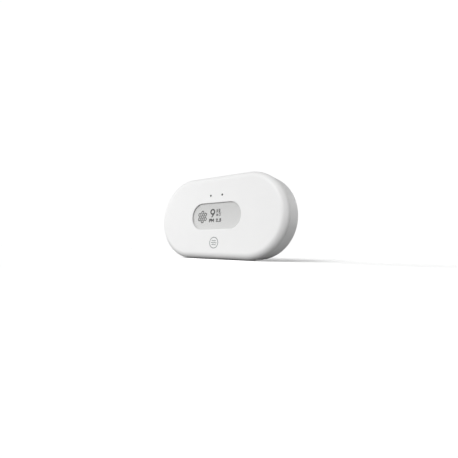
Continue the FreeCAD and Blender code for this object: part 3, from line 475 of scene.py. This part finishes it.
# pen paths in a cell one unit high, x from 0
PEN = {
    "9": (0.72, [[(A, 0.36, 0.68, 0.345, 0.32, 0, 360)], [(0.685, 0.56), (0.60, 0.42), (0.27, -0.02)]]),
    "P": (0.55, [[(0.06, 0.0), (0.06, 1.0), (0.30, 1.0), (A, 0.30, 0.74, 0.24, 0.26, 90, -90), (0.06, 0.48)]]),
    "M": (1.0, [[(0.06, 0.0), (0.06, 1.0)], [(0.06, 1.0), (0.48, 0.42)], [(0.48, 0.42), (0.90, 1.0)], [(0.90, 1.0), (0.90, 0.0)]]),
    "2": (0.55, [[(A, 0.28, 0.73, 0.23, 0.27, 165, -35), (0.05, 0.0), (0.52, 0.0)]]),
    "5": (0.55, [[(0.48, 1.0), (0.13, 1.0), (0.09, 0.56), (A, 0.26, 0.32, 0.25, 0.32, 122, -145)]]),
    ".": (0.24, [[(0.10, 0.0), (0.13, 0.0)]]),
    "u": (0.52, [[(0.06, -0.30), (0.06, 0.70)], [(0.06, 0.22), (A, 0.25, 0.22, 0.19, 0.22, 180, 360), (0.44, 0.70)], [(0.44, 0.22), (0.46, 0.0)]]),
    "g": (0.52, [[(A, 0.25, 0.35, 0.20, 0.35, 0, 360)], [(0.45, 0.70), (0.45, -0.06), (A, 0.25, -0.06, 0.20, 0.22, 0, -150)]]),
    "m": (0.80, [[(0.06, 0.0), (0.06, 0.70)], [(0.06, 0.46), (A, 0.22, 0.46, 0.16, 0.24, 180, 0), (0.38, 0.0)], [(0.38, 0.46), (A, 0.54, 0.46, 0.16, 0.24, 180, 0), (0.70, 0.0)]]),
    "3": (0.55, [[(A, 0.25, 0.76, 0.20, 0.24, 150, -90), (A, 0.25, 0.26, 0.22, 0.26, 90, -150)]]),
    "-": (1.0, [[(0.0, 0.0), (1.0, 0.0)]]),
    " ": (0.36, []),
}


def write(name, text, x, z, height, weight, mat, gap=0.12, wide=1.0):
    paths, at = [], 0.0
    for ch in text:
        w, ps = PEN[ch]
        for p in ps:
            moved = []
            for q in p:
                moved.append((A, q[1] + at, *q[2:]) if q[0] == A else (q[0] + at, q[1]))
            paths.append(moved)
        at += w + gap
    return strokes(name, paths, x, z, height, weight, mat, wide)


# particle icon: seven small rings packed in a hexagon
ICON_X, ICON_Z, ICON_R, ICON_STEP = -19.5 * MM, 45.2 * MM, 2.15 * MM, 4.82 * MM
bm = bmesh.new()
for k in range(7):
    a = math.radians(60 * k + 30)
    cx = ICON_X + (0 if k == 6 else ICON_STEP * math.cos(a))
    cz = ICON_Z + (0 if k == 6 else ICON_STEP * math.sin(a))
    ring(bm, cx, cz, ICON_R, ICON_R - 1.1 * MM, Y_INK, Y_INK + 0.02 * MM)
bmesh.ops.recalc_face_normals(bm, faces=bm.faces)
keep("icon_particles", bm, ink_mat)

# printed border on the front of the window, under the edge of the opening; its pale grey is partly the print's own
# tone and partly painted light that lightens the shade at the recess edge
lens_lo, lens_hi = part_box("display_lens")
bm = bmesh.new()
loops = []
lens_x, lens_z = (lens_hi.x + lens_lo.x) / 2, (lens_hi.z + lens_lo.z) / 2
lens_r, lens_s = (lens_hi.z - lens_lo.z) / 2, (lens_hi.x - lens_lo.x - lens_hi.z + lens_lo.z) / 2
for inset, y in ((0.1, -0.013), (0.1, -0.005), (2.0, -0.005), (2.0, -0.013)):
    row = []
    for k in range(96):
        a = 2 * math.pi * (k + 0.5) / 96
        side = 1 if math.cos(a) > 0 else -1
        r = lens_r - inset * MM
        row.append(bm.verts.new((lens_x + side * lens_s + r * math.cos(a), lens_lo.y + y * MM, lens_z + r * math.sin(a))))
    loops.append(row)
for row, nxt in zip(loops, loops[1:] + loops[:1]):
    for k in range(96):
        bm.faces.new((row[k], row[(k + 1) % 96], nxt[(k + 1) % 96], nxt[k]))
bmesh.ops.recalc_face_normals(bm, faces=bm.faces)
keep("window_border_painted_light", bm, ink("border_print_and_painted_light", (0.72, 0.72, 0.715)))

write("reading_value", "9", -7.65 * MM, 45.05 * MM, 7.6 * MM, 1.68 * MM, ink_mat)
write("reading_unit_top", "ug", 0.6 * MM, 50.45 * MM, 3.1 * MM, 0.78 * MM, ink_mat, 0.3, 1.15)
write("reading_unit_bar", "-", 0.5 * MM, 48.7 * MM, 6.3 * MM, 0.42 * MM, ink_pale)
write("reading_unit_low", "m3", 0.55 * MM, 45.7 * MM, 2.4 * MM, 0.7 * MM, ink_pale, 0.4, 1.35)
write("reading_label", "PM 2.5", -9.25 * MM, 39.5 * MM, 2.85 * MM, 1.16 * MM, ink_mat, 0.24, 1.28)


# ------------------------------------------------------------------ floor, light, camera
FLOOR_BOUNCE = 0.25
FLOOR_GAIN = 1.65        # the sweep is lit up to paper white where it is seen


def floor_material():
    g = Graph("floor_paper")
    cloud = g.noise(3.0, 3.0)
    fine = g.noise(2500.0, 2.0)
    col = g.mix(g.rng(cloud, 0.3, 0.7, 0.0, 1.0), (0.995 * FLOOR_GAIN,) * 3, (1.005 * FLOOR_GAIN,) * 3)
    # the paper reads as lit to white, and hardly throws light back at the object
    paper = g.new("ShaderNodeBsdfDiffuse")
    g.put(paper.inputs["Color"], col)
    g.link(g.bump(fine, 0.03, 0.02 * MM), paper.inputs["Normal"])
    g.nt.nodes.remove(g.bsdf)
    soft = g.new("ShaderNodeBsdfDiffuse")
    g.put(soft.inputs["Color"], (FLOOR_BOUNCE, FLOOR_BOUNCE, FLOOR_BOUNCE, 1.0))
    seen = g.new("ShaderNodeMixShader")
    g.link(g.new("ShaderNodeLightPath").outputs["Is Camera Ray"], seen.inputs[0])
    g.link(soft.outputs[0], seen.inputs[1])
    g.link(paper.outputs[0], seen.inputs[2])
    g.link(seen.outputs[0], g.out.inputs["Surface"])
    return g.mat


me = bpy.data.meshes.new("studio_floor")
bm = bmesh.new()
S = 40.0
vs = [bm.verts.new(p) for p in ((-S, -S, 0), (S, -S, 0), (S, S, 0), (-S, S, 0))]
bm.faces.new(vs)
bm.to_mesh(me)
bm.free()
floor = bpy.data.objects.new("studio_floor", me)
scene.collection.objects.link(floor)
me.materials.append(floor_material())

# soft lights from fixed directions (azimuth from +X, elevation), irradiance, apparent size
LIGHTS = [
    ("key_front", 270, 25, 0.572, 30),
    ("key_left_low", 210, 8, 0.470, 30),
    ("front_high", 270, 45, 0.074, 30),
    ("front_right_high", 300, 45, 0.089, 30),
    ("right_low", 0, 8, 0.188, 30),
    ("right_rear_low", 30, 8, 0.163, 30),
    ("rear_high", 90, 45, 0.016, 30),
    ("rear_fill", 90, 8, 0.300, 30),
]
for name, az, el, power, spread in LIGHTS:
    d = bpy.data.lights.new(name, "SUN")
    d.energy = power * math.pi
    d.angle = math.radians(spread)
    o = bpy.data.objects.new(name, d)
    a, e = math.radians(az), math.radians(el)
    v = Vector((math.cos(a) * math.cos(e), math.sin(a) * math.cos(e), math.sin(e)))
    o.rotation_euler = v.to_track_quat("Z", "Y").to_euler()
    scene.collection.objects.link(o)

world = bpy.data.worlds.new("studio")
scene.world = world
world.use_nodes = True
nt = world.node_tree
bg = next(n for n in nt.nodes if n.type == "BACKGROUND")
WORLD_LIGHT = 0.10
path = nt.nodes.new("ShaderNodeLightPath")
mr = nt.nodes.new("ShaderNodeMapRange")
mr.inputs["To Min"].default_value = WORLD_LIGHT
mr.inputs["To Max"].default_value = 1.02
nt.links.new(path.outputs["Is Camera Ray"], mr.inputs["Value"])
nt.links.new(mr.outputs["Result"], bg.inputs["Strength"])
bg.inputs["Color"].default_value = (1, 1, 1, 1)

scene.view_settings.view_transform = "Standard"
scene.view_settings.look = "None"
scene.view_settings.exposure = 0.0
scene.view_settings.gamma = 1.0

AZ, EL, DIST, LENS, TX, TZ, ROLL, LOOK_Z = 32.467, -10.635, 317.06, 22.330, 37.351, 21.889, 1.668, 45.5
a, e, r = math.radians(AZ), math.radians(EL), math.radians(ROLL)
back = Vector((math.sin(a) * math.cos(e), -math.cos(a) * math.cos(e), math.sin(e)))
right = Vector((math.cos(a), math.sin(a), 0))
up = back.cross(right)
pos = Vector((0, 0, LOOK_Z)) + right * TX + up * TZ + back * DIST
right, up = right * math.cos(r) + up * math.sin(r), -right * math.sin(r) + up * math.cos(r)
cam_data = bpy.data.cameras.new("camera")
cam_data.lens = LENS
cam_data.sensor_width = 36.0
cam_data.shift_x = -0.0655      # the framing needs a little rise and cross
cam_data.shift_y = -0.0655
cam_data.clip_start = 0.01
cam_data.clip_end = 200.0
cam = bpy.data.objects.new("camera", cam_data)
scene.collection.objects.link(cam)
cam.matrix_world = Matrix(((right.x, up.x, back.x, pos.x * MM), (right.y, up.y, back.y, pos.y * MM),
                           (right.z, up.z, back.z, pos.z * MM), (0, 0, 0, 1)))
scene.camera = cam
